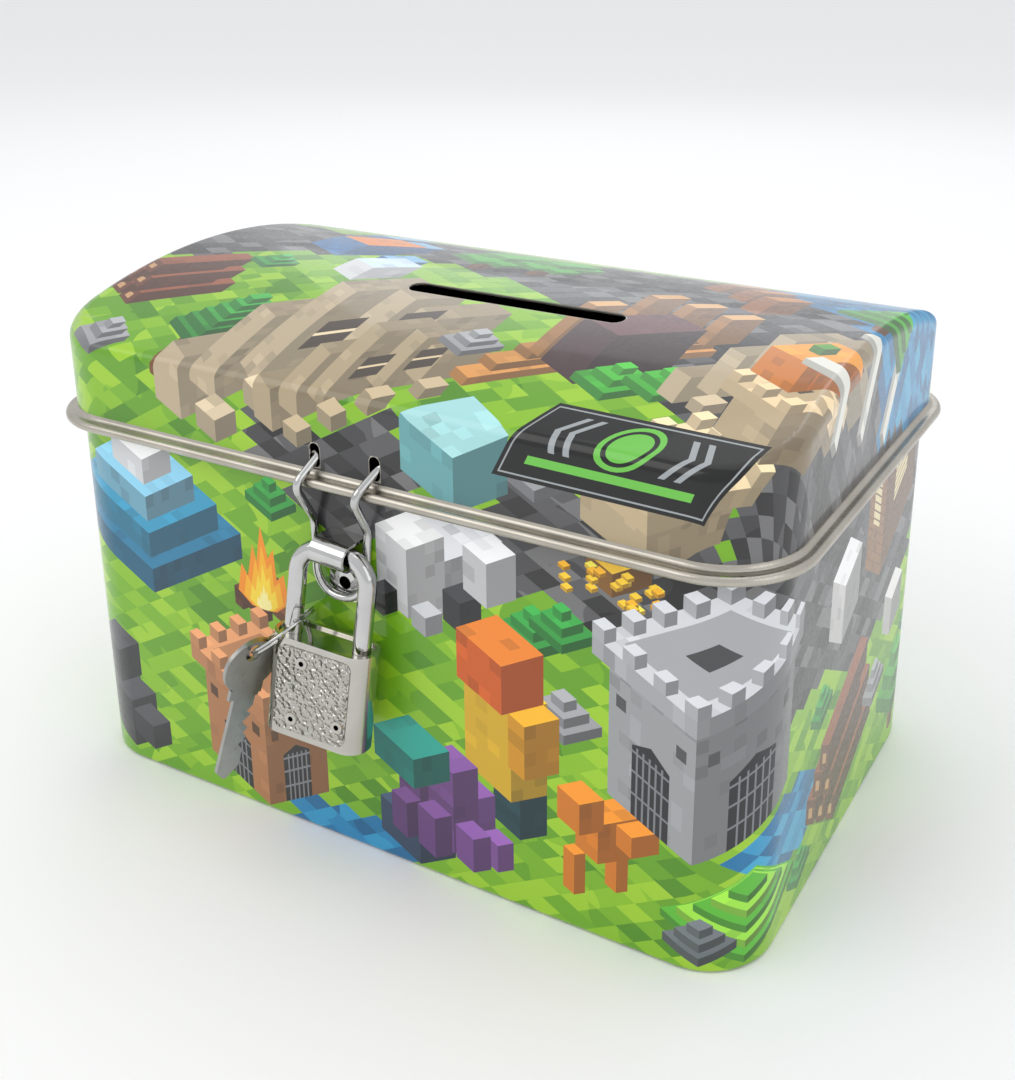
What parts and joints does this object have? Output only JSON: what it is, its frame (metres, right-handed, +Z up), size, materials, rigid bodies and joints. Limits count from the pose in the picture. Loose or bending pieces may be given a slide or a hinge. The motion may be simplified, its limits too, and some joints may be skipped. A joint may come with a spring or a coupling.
{
  "type": "tin money box",
  "caption": "Rectangular tin chest with a domed hinged lid, a coin slot, and a wire hasp locked by a small padlock with keys on a split ring.",
  "frame": {"origin": "centre of the underside of the base panel, on the surface that the box stands on", "axes": "+X to the right along the front, +Y to the back where the hinge is, +Z up"},
  "size_m": [0.173, 0.1313, 0.1126],
  "materials": {
    "printed_wall": "glossy lithographed tinplate",
    "printed_lid": "glossy lithographed tinplate",
    "tinplate": "bare tinplate, satin",
    "steel_wire": "drawn steel",
    "chrome_wire": "bright chrome plate",
    "chrome_strip": "bright chrome plate",
    "shackle_steel": "bright chrome plate",
    "case_steel": "bright nickel plate",
    "hammered_plate": "hammered nickel plate",
    "zinc_core": "die-cast zinc",
    "brass_plug": "turned brass",
    "spring_steel": "spring wire",
    "key_steel": "stamped nickel-plated steel"
  },
  "bodies": {
    "box": {"body_wall": "printed_wall", "base_plate": "tinplate", "hinge_leaf_body": "tinplate", "hinge_rivets_body": "steel_wire", "hinge_pin": "steel_wire", "staple": "chrome_strip", "staple_rivet": "chrome_strip"},
    "lid": {"lid_shell": "printed_lid", "hinge_leaf_lid": "tinplate", "hinge_rivets_lid": "steel_wire"},
    "hasp": {"hasp_loop": "chrome_wire"},
    "shackle": {"shackle": "shackle_steel"},
    "lock": {"lock_case": "case_steel", "lock_top": "case_steel", "lock_bottom": "case_steel", "lock_core": "zinc_core", "lock_front_plate": "hammered_plate", "lock_back_plate": "hammered_plate", "lock_rivets": "case_steel", "latch_spring": "spring_steel", "shackle_spring": "spring_steel"},
    "plug": {"key_plug": "brass_plug"},
    "latch": {"latch": "brass_plug"},
    "ring": {"split_ring": "chrome_wire"},
    "first_key": {"key_1": "key_steel"},
    "second_key": {"key_2": "key_steel"}
  },
  "joints": [
    {"name": "lid_hinge", "type": "hinge", "parent": "box", "child": "lid", "pos_m": [0, 0.0556, 0.0836], "axis": [-1, 0, 0], "range_deg": [0, 100], "deforming": ["hasp_loop"]},
    {"name": "hasp_swing", "type": "hinge", "parent": "lid", "child": "hasp", "pos_m": [0, -0.0539, 0.0888], "axis": [-1, 0, 0], "range_deg": [0, 80], "deforming": ["hasp_loop"]},
    {"name": "lock_swing", "type": "hinge", "parent": "box", "child": "shackle", "pos_m": [-0.0036, -0.0585, 0.0708], "axis": [-0.9906, -0.104, 0.0889], "range_deg": [0, 80]},
    {"name": "case_drop", "type": "slide", "parent": "shackle", "child": "lock", "axis": [-0.078, -0.1045, -0.9915], "range_m": [0, 0.0075], "deforming": ["shackle_spring"]},
    {"name": "key_turn", "type": "hinge", "parent": "lock", "child": "plug", "pos_m": [-0.00328, -0.06125, 0.04197], "axis": [0.078, 0.1045, 0.9915], "range_deg": [0, 90]},
    {"name": "latch_slide", "type": "slide", "parent": "lock", "child": "latch", "axis": [-0.9906, -0.104, 0.0889], "range_m": [0, 0.00264], "deforming": ["latch_spring"]},
    {"name": "ring_tilt", "type": "hinge", "parent": "shackle", "child": "ring", "pos_m": [-0.0117, -0.0601, 0.055], "axis": [-0.6633, 0.7483, 0], "range_deg": [0, 30]},
    {"name": "key_1_swing", "type": "hinge", "parent": "ring", "child": "first_key", "pos_m": [-0.01839, -0.06717, 0.04917], "axis": [0.9379, -0.2824, -0.2017], "range_deg": [-35, 8]},
    {"name": "key_2_swing", "type": "hinge", "parent": "ring", "child": "second_key", "pos_m": [-0.01931, -0.06522, 0.04853], "axis": [0.9379, -0.2824, -0.2017], "range_deg": [-35, 8]}
  ],
  "couplings": [
    {"joint": "key_turn", "follows": "case_drop", "rad_per_m": 209.44},
    {"joint": "latch_slide", "follows": "case_drop", "ratio": 0.34884}
  ]
}
